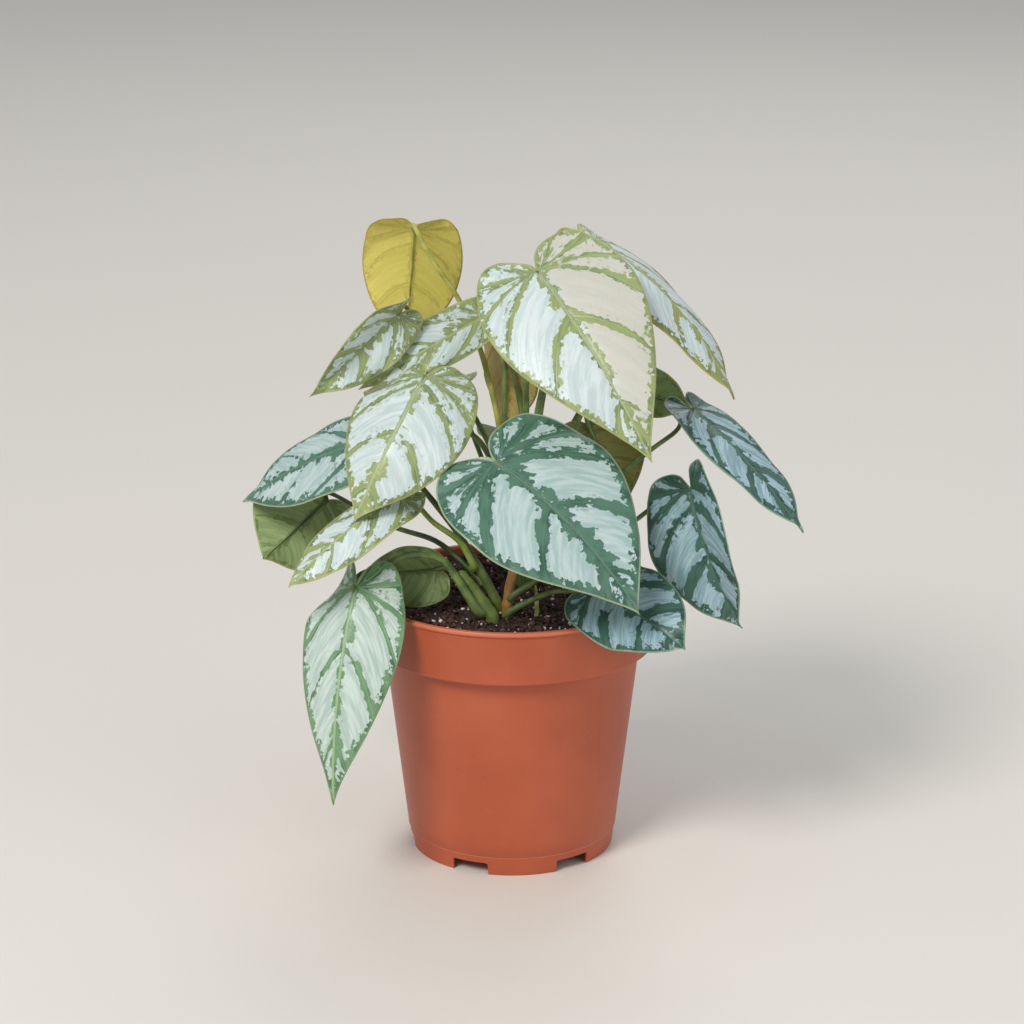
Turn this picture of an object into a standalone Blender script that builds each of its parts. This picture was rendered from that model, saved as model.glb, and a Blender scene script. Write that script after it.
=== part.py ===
"""A potted silver-leaf philodendron: a nursery pot, its potting soil, three short stems,
and each leaf as a blade on a stalk. Metres, +Z up. The pot stands on z = 0 with its axis on Z,
and the front of the plant faces -Y. Plant positions are in millimetres from the pot's axis at
soil level."""

import math
from dataclasses import dataclass

import bmesh
import bpy
import numpy as np
from mathutils import Matrix, Vector

MM = 0.001
GAP = 0.35 * MM  # clearance between pieces that touch

# Pot
POT_HEIGHT = 100.5 * MM
RIM_RADIUS = 55.0 * MM
COLLAR_HEIGHT = 20.5 * MM
COLLAR_TAPER = 1.0 * MM  # how much narrower the collar is at its foot than at the rim
SHOULDER_RADIUS = 47.9 * MM
BASE_RADIUS = 38.4 * MM
WALL = 1.2 * MM
LIP_WIDTH = 0.8 * MM
LIP_HEIGHT = 1.3 * MM
FLOOR_LIFT = 3.6 * MM
FLOOR_THICKNESS = 1.4 * MM
BAND_HEIGHT = 7.0 * MM  # the faint step round the foot
BAND_DEPTH = 0.4 * MM
DRAIN_HOLES = 6
DRAIN_RADIUS = 3.5 * MM
DRAIN_CIRCLE = 25.0 * MM
NOTCHES = 6
NOTCH_WIDTH = 14.0 * MM
NOTCH_HEIGHT = 4.7 * MM
NOTCH_START = math.radians(246)
TURN_STEPS = 48

# Soil
HEADSPACE = 3.5 * MM  # from the rim down to the soil
SOIL_LEVEL = POT_HEIGHT - HEADSPACE
SOIL_CROWN = 1.2 * MM  # how much higher the soil is in the middle
CROWN_STEPS = 4
SOCKET_GAP = 0.5 * MM  # round a stem, in the soil

# Leaves
BLADE_THICKNESS = 0.6 * MM
BLADE_ROWS = 12
BLADE_COLUMNS = 6
MIDRIB_STEPS = 40
VEIN_REACH = 0.36  # blade lengths that a side vein runs forward from the notch to the margin
VEIN_CROWDING = 1.25
VEIN_BEND = 0.25
VEIN_SPREAD = 0.6
LOBE_START = 0.2  # where a lobe's own bend begins, in blade lengths from the stalk
LOBE_RUN = 0.35
LEAST_CURL = 0.001
NOTCH_CURL = 0.2  # how much of a half's curl is felt beside the stalk
MERGE = 0.00001

# Stems and stalks
STEM_STEPS = 10
STEM_READINGS = 200
STALK_STEPS = 7
STALK_TIP = 0.7  # a stalk's radius under the blade, as a share of its radius at the stem

# Half of a flat blade, from the notch at the stalk round the lobe to the tip:
# distance along the midrib in blade lengths, and distance from it in half widths.
HALF_OUTLINE = [
    (0.0, 0.0), (-0.05, 0.04), (-0.105, 0.15), (-0.14, 0.33), (-0.135, 0.54),
    (-0.08, 0.74), (0.03, 0.89), (0.17, 0.98), (0.32, 1.0), (0.47, 0.93),
    (0.61, 0.78), (0.74, 0.56), (0.86, 0.28), (0.94, 0.10), (1.0, 0.0),
]


@dataclass
class Stem:
    """A short stem: its points, from its buried end up, and its radius at each end, in mm."""

    name: str
    points: list
    foot: float
    head: float
    colour: tuple


@dataclass
class Leaf:
    """A blade and its stalk. Lengths in mm, angles in degrees, pairs are the two halves.

    base is where the stalk joins the blade, and tip is the blade's point. roll turns the blade
    about the line between them, and droop is how far the midrib turns down along it. fold
    lifts a half off the plane at the midrib, cup bends it on toward its margin, and lobe bends
    it near the stalk only. belly moves the widest place toward the tip. The stalk starts on
    a stem, at a height above the soil and on a side of it, runs through via, and reaches the blade
    from the approach: how far behind it and below it, in mm."""

    name: str
    base: tuple
    tip: tuple
    width: float
    roll: float
    stem: str
    height: float
    side: float
    via: list
    droop: float = 30
    sweep: float = 0
    fold: tuple = (8, 8)
    cup: tuple = (-5, -5)
    lobe: tuple = (0, 0)
    belly: float = 0
    nod: float = 0
    stalk: float = 1.1
    approach: tuple = (6.5, 5)
    colour: tuple = (0.62, 0.70, 0.66)


def beyond_rim(angle, distance, height):
    """A place outside the pot: degrees round it, and mm out from the rim and up from the soil."""
    radius = RIM_RADIUS / MM + distance
    turn = math.radians(angle)
    return (radius * math.cos(turn), radius * math.sin(turn), height)


SILVER = (0.62, 0.70, 0.66)
BLUE_GREEN = (0.22, 0.38, 0.34)
OLIVE = (0.28, 0.24, 0.07)
GREEN = (0.10, 0.19, 0.04)
YELLOW = (0.52, 0.46, 0.08)
STEM_GREEN = (0.12, 0.19, 0.04)
STEM_BROWN = (0.32, 0.17, 0.04)

STEMS = [
    Stem("stem_left", [(-7, -31, -22), (-7, -31, 0), (-10, -30.5, 6), (-15, -29, 13), (-19.5, -28, 18)],
         2.8, 2.0, STEM_GREEN),
    Stem("stem_middle",
         [(-4.5, -23.5, -22), (-4.5, -23.5, 0), (-6.5, -24, 7), (-11, -24, 16), (-15, -24, 23)],
         2.1, 1.6, STEM_GREEN),
    Stem("stem_right", [(-2, -28, -22), (-2, -28, 0), (-1.5, -28, 8), (0, -27, 16), (2.5, -25.5, 24)],
         1.9, 1.7, STEM_BROWN),
    Stem("stem_rear", [(4, 5, -22), (4, 5, 0), (4, 6, 12), (3, 7, 24), (2, 8, 36)],
         3.2, 2.4, STEM_GREEN),
    Stem("young_shoot", [(9, -26, -12), (9, -26, 0), (9, -26, 6), (8.5, -25.5, 12)],
         1.3, 0.4, YELLOW),
]

LEAVES = [
    Leaf("yellow", (-36, 25, 133), (-40, 33, 87), 38, -26, "stem_rear", 30, 150,
         [(-5, 15, 62), (-12, 19, 90), (-20, 22, 108), (-29, 21, 122)],
         fold=(5, 12), cup=(5, 5), lobe=(0, -50), belly=0.05, nod=-20, stalk=1.2, colour=YELLOW),
    Leaf("upper_left", (-41, 0, 107), (-73, -15, 80), 24, 75, "stem_rear", 18, 220,
         [(-3, -1, 45), (-9, -3, 60), (-18, 3, 76), (-28, 14, 91), (-36, 12, 102)],
         droop=15, fold=(50, 5), cup=(-10, -10), lobe=(70, 0)),
    Leaf("upper_left_rear", (-11, 12, 103), (-56, -5, 80), 20, 65, "stem_rear", 26, 195,
         [(-3, 7, 55), (-3, 10, 85)], fold=(-10, 10), cup=(0, 0)),
    Leaf("top_centre", (9, -10, 125), (49, -52, 66), 58, -33, "stem_rear", 34, 280,
         [(5, -2, 62), (5, -5, 98), (6, -8, 117)],
         droop=50, fold=(5, 8), cup=(-20, -20), lobe=(0, 10), belly=-0.09, stalk=1.4),
    Leaf("top_right", (30, 12, 132), (80, -15, 79), 36, -8, "stem_rear", 32, 0,
         [(9, 10, 65), (16, 13, 95), (24, 14, 122)],
         droop=45, fold=(5, -13), cup=(-20, -20), belly=0.05, stalk=1.3),
    Leaf("centre_left", (-31, -20, 89), (-56, -45, 42.5), 49, 40, "stem_rear", 12, 230,
         [(-2, -8, 40), (-10, -12, 60), (-17, -13, 68), (-26, -16, 82)],
         droop=55, fold=(-30, 5), cup=(-20, -20), lobe=(-60, 0), stalk=1.3),
    Leaf("far_left", (-53, -12, 63), (-101, 20, 30), 33, 60, "stem_middle", 19, 100,
         [(-20, -21, 31), (-35, -19, 50), (-46, -14, 60)],
         fold=(-18, 5), cup=(-10, -10), stalk=1.3, colour=BLUE_GREEN),
    Leaf("lower_left", (-40, -35, 49), (-79, -55, 21), 23, 45, "stem_middle", 21, 260,
         [(-19.3, -27, 29.5), (-29, -30, 38)],
         sweep=10, fold=(-40, 8), cup=(0, 0), lobe=(-40, -60), belly=0.12, stalk=1.2),
    Leaf("left_underside", (-70, 22, 30), (-93, 5, 12), 46, -130, "stem_middle", 14, 150,
         [(-20, -19, 20.5), (-29, -13, 25.5), (-46, 4, 26)],
         fold=(10, 10), cup=(0, 0), approach=(4, 1.5), colour=GREEN),
    Leaf("hanging_left", beyond_rim(217, 15, 17), beyond_rim(224, 34, -59), 41, 20,
         "stem_left", 6, 215,
         [(-22.5, -32, 21), (-27, -33, 25), (-32, -34, 26.5), (-38, -34, 26), (-44, -33.5, 23.5),
          (-50, -35, 21)],
         droop=35, sweep=12, fold=(-35, 3), cup=(-10, -10), lobe=(-95, -10), belly=-0.1, stalk=1.6),
    Leaf("rim_left", (-27, -23.5, 17.5), (-56, -21, 14.5), 27, -110, "stem_middle", 3, 150,
         [(-13, -22, 8), (-19, -22.5, 13)],
         droop=20, fold=(10, -50), cup=(0, 0), approach=(5, 0.5), colour=GREEN),
    Leaf("front_centre", (-6, -39, 62.5), (44.5, -73, 17), 64, -22, "stem_right", 22, 250,
         [(2, -28, 40), (-1, -31, 52)],
         droop=40, fold=(-4, 10), cup=(-10, -10), lobe=(-10, 10), belly=-0.04, stalk=1.4, colour=BLUE_GREEN),
    Leaf("olive_centre", (-4, 25, 96), (-3, 20, 53), 32, 120, "stem_rear", 35, 90,
         [(4, 13, 60), (0, 18, 82)],
         droop=20, fold=(10, 10), cup=(0, 0), approach=(4, 3), colour=OLIVE),
    Leaf("olive_right", (28, 0, 65), (42, -12, 39), 34, 130, "stem_rear", 18, 300,
         [(12, -4, 36), (20, -6, 56)], droop=20, fold=(10, 10), cup=(0, 0), colour=OLIVE),
    Leaf("dark_right", (33, 15, 77), (68, 8, 68), 28, 65, "stem_rear", 24, 20,
         [(12, 12, 45), (24, 14, 65)], droop=20, fold=(10, 10), cup=(0, 0), colour=GREEN),
    Leaf("far_right", (66, -8, 73.5), (103, -48, 39), 26, -12, "stem_rear", 6, 320,
         [(22, -6, 32), (37, -12, 48), (50.5, -14, 60), (60, -12, 67)],
         droop=20, fold=(12, -12), cup=(-10, -10), belly=0.07, colour=BLUE_GREEN),
    Leaf("hanging_right", (64, -30, 50), (82, -48, 3), 44, -82, "stem_right", 10, 330,
         [(18, -29, 21), (32, -23, 27), (44, -16, 33), (53, -15, 40), (59, -18, 45)],
         fold=(8, 32), cup=(0, 0), belly=0.04, approach=(1, 5), colour=BLUE_GREEN),
    Leaf("rim_right", (30, -38, 14), (61, -66, 1.5), 36, -32, "stem_right", 4, 310,
         [(12, -33, 11), (21, -35, 13)], fold=(5, 5), cup=(-10, -10), belly=0.09, colour=BLUE_GREEN),
    Leaf("back_left", (-28, 30, 73), (-50, 69, 49), 40, 0, "stem_rear", 10, 120,
         [(-8, 12, 40), (-15, 17, 58), (-21, 23, 70)], droop=40),
    Leaf("back_low", (5, 30, 53), (20, 76, 8), 46, 0, "stem_rear", 10, 80,
         [(5, 16, 34), (5, 22, 47)], droop=40, colour=BLUE_GREEN),
    Leaf("back_right", (18, 32, 95), (32, 76, 60), 44, 0, "stem_rear", 28, 50,
         [(9, 16, 55), (14, 24, 83)], droop=45),
]


# Small helpers


def clear_scene():
    for thing in list(bpy.data.objects):
        bpy.data.objects.remove(thing, do_unlink=True)


def new_collection(name):
    collection = bpy.data.collections.new(name)
    bpy.context.scene.collection.children.link(collection)
    return collection


def material(name, colour, roughness):
    made = bpy.data.materials.new(name)
    made.use_nodes = True
    shader = made.node_tree.nodes["Principled BSDF"]
    shader.inputs["Base Color"].default_value = (*colour, 1)
    shader.inputs["Roughness"].default_value = roughness
    shader.inputs["Metallic"].default_value = 0
    return made


def add_object(name, data, collection):
    thing = bpy.data.objects.new(name, data)
    collection.objects.link(thing)
    return thing


def mesh_from(name, bm):
    mesh = bpy.data.meshes.new(name)
    bm.to_mesh(mesh)
    bm.free()
    return mesh


def smooth(mesh, angle=35):
    mesh.shade_smooth()
    mesh.set_sharp_from_angle(angle=math.radians(angle))


def turned(name, profile, collection):
    """A closed profile of (radius, height) points, outer side first and downward, turned round Z."""
    bm = bmesh.new()
    points = [bm.verts.new((radius, 0, height)) for radius, height in profile]
    for here, there in zip(points, points[1:] + points[:1]):
        if here.co.x > 0 or there.co.x > 0:
            bm.edges.new((here, there))
    thing = add_object(name, mesh_from(name, bm), collection)
    screw = thing.modifiers.new("turn", "SCREW")
    screw.steps = TURN_STEPS
    screw.render_steps = TURN_STEPS
    screw.use_merge_vertices = True
    screw.merge_threshold = 0.00001
    screw.use_smooth_shade = False
    return thing


def cutter(name, mesh, collection, places):
    """One mesh object of copies of a shape, each at a matrix."""
    bm = bmesh.new()
    for place in places:
        bm.from_mesh(mesh)
        bm.verts.ensure_lookup_table()
        moved = bm.verts[-len(mesh.vertices):]
        bmesh.ops.transform(bm, matrix=place, verts=moved)
    thing = add_object(name, mesh_from(name, bm), collection)
    thing.hide_render = True
    thing.display_type = "WIRE"
    return thing


def cut(thing, tool):
    modifier = thing.modifiers.new("cut " + tool.name, "BOOLEAN")
    modifier.operation = "DIFFERENCE"
    modifier.solver = "EXACT"
    modifier.object = tool


def finish(thing):
    """Makes an object's modifiers part of its mesh, and shades it smooth but for its corners."""
    graph = bpy.context.evaluated_depsgraph_get()
    mesh = bpy.data.meshes.new_from_object(thing.evaluated_get(graph))
    thing.modifiers.clear()
    thing.data = mesh
    smooth(mesh)


def rod_mesh(name, radius, low, high, sides=16):
    """An upright cylinder between two heights."""
    bm = bmesh.new()
    bmesh.ops.create_cone(
        bm, cap_ends=True, segments=sides, radius1=radius, radius2=radius, depth=high - low
    )
    bmesh.ops.translate(bm, vec=(0, 0, (high + low) / 2), verts=bm.verts)
    return mesh_from(name, bm)


def tube(name, points, radii, collection):
    """A round tube with closed ends through points in mm, with a radius in mm at each."""
    curve = bpy.data.curves.new(name, "CURVE")
    curve.dimensions = "3D"
    curve.fill_mode = "FULL"
    curve.bevel_depth = MM
    curve.bevel_resolution = 2
    curve.use_fill_caps = True
    line = curve.splines.new("POLY")
    line.points.add(len(points) - 1)
    for place, point, radius in zip(line.points, points, radii):
        place.co = (*(Vector(point) * MM), 1)
        place.radius = radius
    return add_object(name, curve, collection)


def spline(points, places):
    """A smooth line through the points, read at places from 0 to 1."""
    points = np.asarray(points, float)
    spans = len(points) - 1
    place = np.clip(places, 0, 1) * spans
    first = np.minimum(place.astype(int), spans - 1)
    t = (place - first)[..., None]
    before = points[np.maximum(first - 1, 0)]
    start = points[first]
    end = points[first + 1]
    after = points[np.minimum(first + 2, spans)]
    cubic = 3 * (start - end) + after - before
    square = 2 * before - 5 * start + 4 * end - after
    return start + 0.5 * t * (end - before + t * (square + t * cubic))


def unit(vector):
    return vector / np.linalg.norm(vector)


# The blade of a leaf


def flat_blade(along, across, belly):
    """Points of a flat blade, along it in blade lengths and across it in half widths.

    A line of equal along is a side vein, from the midrib at across 0 to the margin at 1 or -1."""
    edge = spline(HALF_OUTLINE, along)
    edge_x = edge[:, 0] + belly * np.sin(np.pi * np.clip(edge[:, 0], 0, 1))
    out = np.abs(across)
    root = np.clip((edge_x - VEIN_REACH) / (1 - VEIN_REACH), 0, 1) ** VEIN_CROWDING
    bend = root + VEIN_BEND * (edge_x - root)
    x = (1 - out) ** 2 * root + 2 * out * (1 - out) * bend + out**2 * edge_x
    y = edge[:, 1] * (2 * out * (1 - out) * VEIN_SPREAD + out**2)
    return x, np.sign(across) * y


def midrib(leaf):
    """Points, directions, sides and normals along a blade's midrib, and its length, in mm."""
    share = np.linspace(0, 1, MIDRIB_STEPS + 1)
    down = math.radians(leaf.droop) * share
    aside = math.radians(leaf.sweep) * share
    ahead = np.stack(
        [np.cos(down) * np.cos(aside), np.sin(aside), -np.sin(down) * np.cos(aside)], -1
    )
    level = np.stack(
        [-np.sin(aside) * np.cos(down), np.cos(aside), np.sin(aside) * np.sin(down)], -1
    )
    steps = (ahead[1:] + ahead[:-1]) / 2 / MIDRIB_STEPS
    run = np.concatenate([np.zeros((1, 3)), np.cumsum(steps, axis=0)])

    chord = np.subtract(leaf.tip, leaf.base)
    forward = unit(chord)
    upright = unit(np.array([0, 0, 1]) - forward * forward[2])
    roll = math.radians(leaf.roll)
    top = upright * math.cos(roll) + np.cross(upright, forward) * math.sin(roll)
    world = np.stack([forward, np.cross(top, forward), top], 1)

    run_forward = unit(run[-1])
    run_side = unit(np.array([0, 1, 0]) - run_forward * run_forward[1])
    local = np.stack([run_forward, run_side, np.cross(run_forward, run_side)], 0)
    turn = (world @ local).T
    length = np.linalg.norm(chord) / np.linalg.norm(run[-1])
    points = np.array(leaf.base) + run @ turn * length
    ahead = ahead @ turn
    side = level @ turn
    return points, ahead, side, np.cross(ahead, side), length


def bent_blade(leaf, x, y):
    """Where points of the flat blade lie once the blade is bent, in mm."""
    points, ahead, side, normal, length = midrib(leaf)
    share = np.linspace(0, 1, MIDRIB_STEPS + 1)

    def at(values):
        return np.stack([np.interp(x, share, values[:, axis]) for axis in range(3)], -1)

    nod = math.radians(leaf.nod)
    behind = np.minimum(x, 0)[:, None] * length
    place = at(points) + behind * (at(ahead) * math.cos(nod) - at(normal) * math.sin(nod))

    out = np.abs(y)
    near = np.clip((LOBE_START - x) / LOBE_RUN, 0, 1)
    near = near * near * (3 - 2 * near)
    left = y < 0
    fold = np.radians(np.where(left, *leaf.fold))
    curl = np.radians(np.where(left, *leaf.cup) + near * np.where(left, *leaf.lobe))
    curl = np.where(np.abs(curl) < LEAST_CURL, LEAST_CURL, curl)
    half = leaf.width / 2
    lateral = half * (np.sin(fold + curl * out) - np.sin(fold)) / curl
    lift = half * (np.cos(fold) - np.cos(fold + curl * out)) / curl
    return place + at(side) * (np.sign(y) * lateral)[:, None] + at(normal) * lift[:, None]


def make_blade(leaf, plant, collection):
    bm = bmesh.new()
    bmesh.ops.create_grid(bm, x_segments=BLADE_ROWS, y_segments=BLADE_COLUMNS, size=1)
    grid = np.array([vert.co for vert in bm.verts])
    x, y = flat_blade((grid[:, 0] + 1) / 2, grid[:, 1], leaf.belly)
    for vert, point in zip(bm.verts, bent_blade(leaf, x, y) - leaf.base):
        vert.co = Vector(point) * MM
    bmesh.ops.remove_doubles(bm, verts=bm.verts, dist=MERGE)
    mesh = mesh_from("leaf_" + leaf.name, bm)
    smooth(mesh)
    blade = add_object("leaf_" + leaf.name, mesh, collection)
    blade.parent = plant
    blade.location = Vector(leaf.base) * MM
    shell = blade.modifiers.new("thickness", "SOLIDIFY")
    shell.thickness = BLADE_THICKNESS
    shell.offset = 0
    mesh.materials.append(material("leaf_" + leaf.name, leaf.colour, 0.45))


# Stems and leaf stalks


def stem_place(stem, height):
    """The middle of a stem and its radius, at a height above the soil in mm."""
    shares = np.linspace(0, 1, STEM_READINGS)
    line = spline(stem.points, shares)
    share = np.interp(height, line[:, 2], shares)
    middle = spline(stem.points, np.array([share]))[0]
    return middle, stem.foot + (stem.head - stem.foot) * share


def make_stem(stem, plant, collection):
    shares = np.linspace(0, 1, STEM_STEPS + 1)
    radii = stem.foot + (stem.head - stem.foot) * shares
    made = tube(stem.name, spline(stem.points, shares), radii, collection)
    made.parent = plant
    made.data.materials.append(material(stem.name, stem.colour, 0.5))


def make_stalk(leaf, stem, plant, collection):
    """The stalk runs from the side of a stem to the underside of the blade's notch."""
    middle, stem_radius = stem_place(stem, leaf.height)
    side = math.radians(leaf.side)
    away = stem_radius + leaf.stalk + GAP / MM
    start = middle + np.array([math.cos(side), math.sin(side), 0]) * away

    _, ahead, _, normal, _ = midrib(leaf)
    tip_radius = leaf.stalk * STALK_TIP
    near_midrib = np.add(leaf.fold, NOTCH_CURL * np.add(leaf.cup, leaf.lobe))
    slope = math.radians(max(0, -near_midrib.min()))
    under = (tip_radius + (BLADE_THICKNESS / 2 + GAP) / MM) / math.cos(slope)
    end = np.array(leaf.base) - normal[0] * under
    behind, below = leaf.approach
    before_end = end - ahead[0] * behind - normal[0] * below

    shares = np.linspace(0, 1, STALK_STEPS + 1)
    points = spline([start, *leaf.via, before_end, end], shares)
    radii = leaf.stalk + (tip_radius - leaf.stalk) * shares
    made = tube("stalk_" + leaf.name, points, radii, collection)
    made.parent = plant
    made.data.materials.append(material("stalk_" + leaf.name, STEM_GREEN, 0.45))


# Pot and soil


def pot_sizes():
    """Radii and heights that the pot and the soil share."""
    collar = RIM_RADIUS - LIP_WIDTH
    lean = (SHOULDER_RADIUS - BASE_RADIUS) / (POT_HEIGHT - COLLAR_HEIGHT)
    return {
        "collar": collar,
        "collar_foot": collar - COLLAR_TAPER,
        "ledge": POT_HEIGHT - COLLAR_HEIGHT,
        "floor": FLOOR_LIFT + FLOOR_THICKNESS,
        "lean": lean,
    }


def body_radius(height):
    """The outside of the pot below its collar."""
    return BASE_RADIUS + pot_sizes()["lean"] * height


def make_pot(collection, cutters):
    sizes = pot_sizes()
    ledge = sizes["ledge"]
    floor = sizes["floor"]
    round_over = WALL / 3
    profile = [
        (RIM_RADIUS - round_over, POT_HEIGHT),
        (RIM_RADIUS, POT_HEIGHT - round_over),
        (RIM_RADIUS, POT_HEIGHT - LIP_HEIGHT),
        (sizes["collar"], POT_HEIGHT - LIP_HEIGHT - LIP_WIDTH),
        (sizes["collar_foot"], ledge + round_over),
        (sizes["collar_foot"] - round_over, ledge),
        (SHOULDER_RADIUS, ledge),
        (body_radius(BAND_HEIGHT) + BAND_DEPTH, BAND_HEIGHT + BAND_DEPTH),
        (body_radius(BAND_HEIGHT), BAND_HEIGHT),
        (BASE_RADIUS, 0),
        (BASE_RADIUS - WALL, 0),
        (body_radius(FLOOR_LIFT) - WALL, FLOOR_LIFT),
        (0, FLOOR_LIFT),
        (0, floor),
        (body_radius(floor) - WALL, floor),
        (SHOULDER_RADIUS - WALL, ledge + WALL),
        (sizes["collar_foot"] - WALL, ledge + WALL),
        (sizes["collar"] - WALL, POT_HEIGHT),
    ]
    pot = turned("pot", profile, collection)

    block = bmesh.new()
    bmesh.ops.create_cube(block, size=1)
    bmesh.ops.scale(block, vec=(3 * WALL, NOTCH_WIDTH, 2 * NOTCH_HEIGHT), verts=block.verts)
    bmesh.ops.translate(block, vec=(BASE_RADIUS, 0, 0), verts=block.verts)
    turns = [Matrix.Rotation(NOTCH_START + math.tau * i / NOTCHES, 4, "Z") for i in range(NOTCHES)]
    cut(pot, cutter("foot_notches", mesh_from("foot_notches", block), cutters, turns))

    hole = rod_mesh("drain_hole", DRAIN_RADIUS, FLOOR_LIFT - WALL, floor + WALL)
    places = [
        Matrix.Rotation(math.tau * i / DRAIN_HOLES, 4, "Z") @ Matrix.Translation((DRAIN_CIRCLE, 0, 0))
        for i in range(DRAIN_HOLES)
    ]
    cut(pot, cutter("drain_holes", hole, cutters, places))
    pot.data.materials.append(material("pot_plastic", (0.48, 0.115, 0.053), 0.42))
    finish(pot)


def make_soil(collection, cutters):
    """The soil fills the pot up to its level, with a socket for each stem."""
    sizes = pot_sizes()
    floor = sizes["floor"]
    ledge = sizes["ledge"] + WALL
    wall = WALL + GAP
    collar_lean = COLLAR_TAPER / COLLAR_HEIGHT
    top_radius = sizes["collar"] - wall - collar_lean * HEADSPACE
    shares = [i / CROWN_STEPS for i in range(CROWN_STEPS + 1)]
    crown = [(top_radius * share, SOIL_LEVEL + SOIL_CROWN * (1 - share**2)) for share in shares]
    profile = [
        *crown,
        (sizes["collar_foot"] - wall, ledge + GAP),
        (SHOULDER_RADIUS - wall, ledge + GAP),
        (body_radius(floor) - wall, floor + GAP),
        (0, floor + GAP),
    ]
    soil = turned("potting_soil", profile, collection)
    for stem in STEMS:
        x, y, low = Vector(stem.points[0]) * MM
        socket = rod_mesh(
            stem.name + "_socket",
            stem.foot * MM + SOCKET_GAP,
            SOIL_LEVEL + low - SOCKET_GAP,
            POT_HEIGHT,
        )
        place = Matrix.Translation((x, y, 0))
        cut(soil, cutter(stem.name + "_socket", socket, cutters, [place]))
    soil.data.materials.append(material("potting_soil", (0.045, 0.022, 0.018), 0.95))
    finish(soil)


def main():
    clear_scene()
    collection = new_collection("potted_philodendron")
    cutters = new_collection("cutters")
    make_pot(collection, cutters)
    make_soil(collection, cutters)

    plant = add_object("plant", None, collection)
    plant.location.z = SOIL_LEVEL
    stems = {stem.name: stem for stem in STEMS}
    for stem in STEMS:
        make_stem(stem, plant, collection)
    for leaf in LEAVES:
        make_blade(leaf, plant, collection)
        make_stalk(leaf, stems[leaf.stem], plant, collection)


main()
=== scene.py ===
import math
from dataclasses import dataclass, replace

import bmesh
import bpy
import numpy as np
from mathutils import Matrix, Vector, noise

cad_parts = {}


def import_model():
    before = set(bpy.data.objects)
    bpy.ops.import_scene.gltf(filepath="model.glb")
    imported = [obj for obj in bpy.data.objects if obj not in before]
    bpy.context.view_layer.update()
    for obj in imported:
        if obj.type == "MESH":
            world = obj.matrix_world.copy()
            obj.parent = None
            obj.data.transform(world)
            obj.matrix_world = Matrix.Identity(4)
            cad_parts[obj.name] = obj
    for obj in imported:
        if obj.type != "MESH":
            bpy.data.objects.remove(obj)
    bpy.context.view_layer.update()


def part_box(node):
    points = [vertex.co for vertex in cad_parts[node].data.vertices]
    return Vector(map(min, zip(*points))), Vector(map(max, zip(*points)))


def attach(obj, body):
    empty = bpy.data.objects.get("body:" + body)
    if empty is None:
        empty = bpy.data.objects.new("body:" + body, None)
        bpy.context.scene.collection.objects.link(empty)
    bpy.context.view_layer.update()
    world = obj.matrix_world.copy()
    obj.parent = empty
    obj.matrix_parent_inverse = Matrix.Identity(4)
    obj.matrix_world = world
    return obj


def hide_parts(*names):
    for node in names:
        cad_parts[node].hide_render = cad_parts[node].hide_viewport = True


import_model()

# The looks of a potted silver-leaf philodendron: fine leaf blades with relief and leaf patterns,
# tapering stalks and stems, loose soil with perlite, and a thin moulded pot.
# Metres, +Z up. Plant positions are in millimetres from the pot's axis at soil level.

MM = 0.001
POT_LOW, POT_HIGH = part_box("pot")
SOIL_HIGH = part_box("potting_soil")[1]
RIM_RADIUS = POT_HIGH.x
POT_HEIGHT = POT_HIGH.z
SOIL_CROWN = 1.2 * MM
SOIL_LEVEL = SOIL_HIGH.z - SOIL_CROWN

# Blades
BLADE_ROWS = 96
BLADE_COLUMNS = 48
MIDRIB_STEPS = 40
BLADE_THICKNESS = 0.5 * MM
MARGIN_THICKNESS = 0.35  # of the blade's thickness
VEIN_REACH = 0.36  # side veins of the margin up to here all start at the notch
VEIN_CROWDING = 1.25  # how the others crowd toward it
VEIN_BEND = 0.25  # how soon a side vein turns toward the tip
VEIN_SPREAD = 0.6  # and how far out, as a share of the way to the margin
LOBE_START = 0.2  # a lobe's own curl starts here, in blade lengths, and grows toward the notch
LOBE_RUN = 0.35
LEAST_CURL = 0.001  # keeps a flat half from dividing by zero
MERGE = 0.00001
SIDE_VEINS = 8  # in each half, from the notch round to the tip
RIB_GROOVE = 0.28  # mm deep
RIB_WIDTH = 0.8
MARGIN_WAVE = 0.8  # mm
RIPPLES = 4  # waves in each margin
QUILTING = 0.3  # how far the blade bulges between its side veins, in mm

# Half of a flat blade, from the notch at the stalk round the lobe to the tip:
# distance along the midrib in blade lengths, and distance from it in half widths.
HALF_OUTLINE = [
    (0.0, 0.0), (-0.05, 0.04), (-0.105, 0.15), (-0.14, 0.33), (-0.135, 0.54),
    (-0.08, 0.74), (0.03, 0.89), (0.17, 0.98), (0.32, 1.0), (0.47, 0.93),
    (0.61, 0.78), (0.74, 0.56), (0.86, 0.28), (0.94, 0.10), (1.0, 0.0),
]

# Stems and stalks
STEM_RINGS = 40
STEM_READINGS = 200
STALK_RINGS = 44
STALK_TIP = 0.7  # a stalk's radius under the blade, as a share of its radius at the stem
STALK_ROOT = 2.5  # a stalk starts this far below its height, inside the stem, in mm
RIB_RINGS = 24
RIB_RADIUS = 0.55
RIB_END_RADIUS = 0.12
RIB_REACH = 0.93  # the rib stops short of the tip, as a share of the midrib

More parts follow.
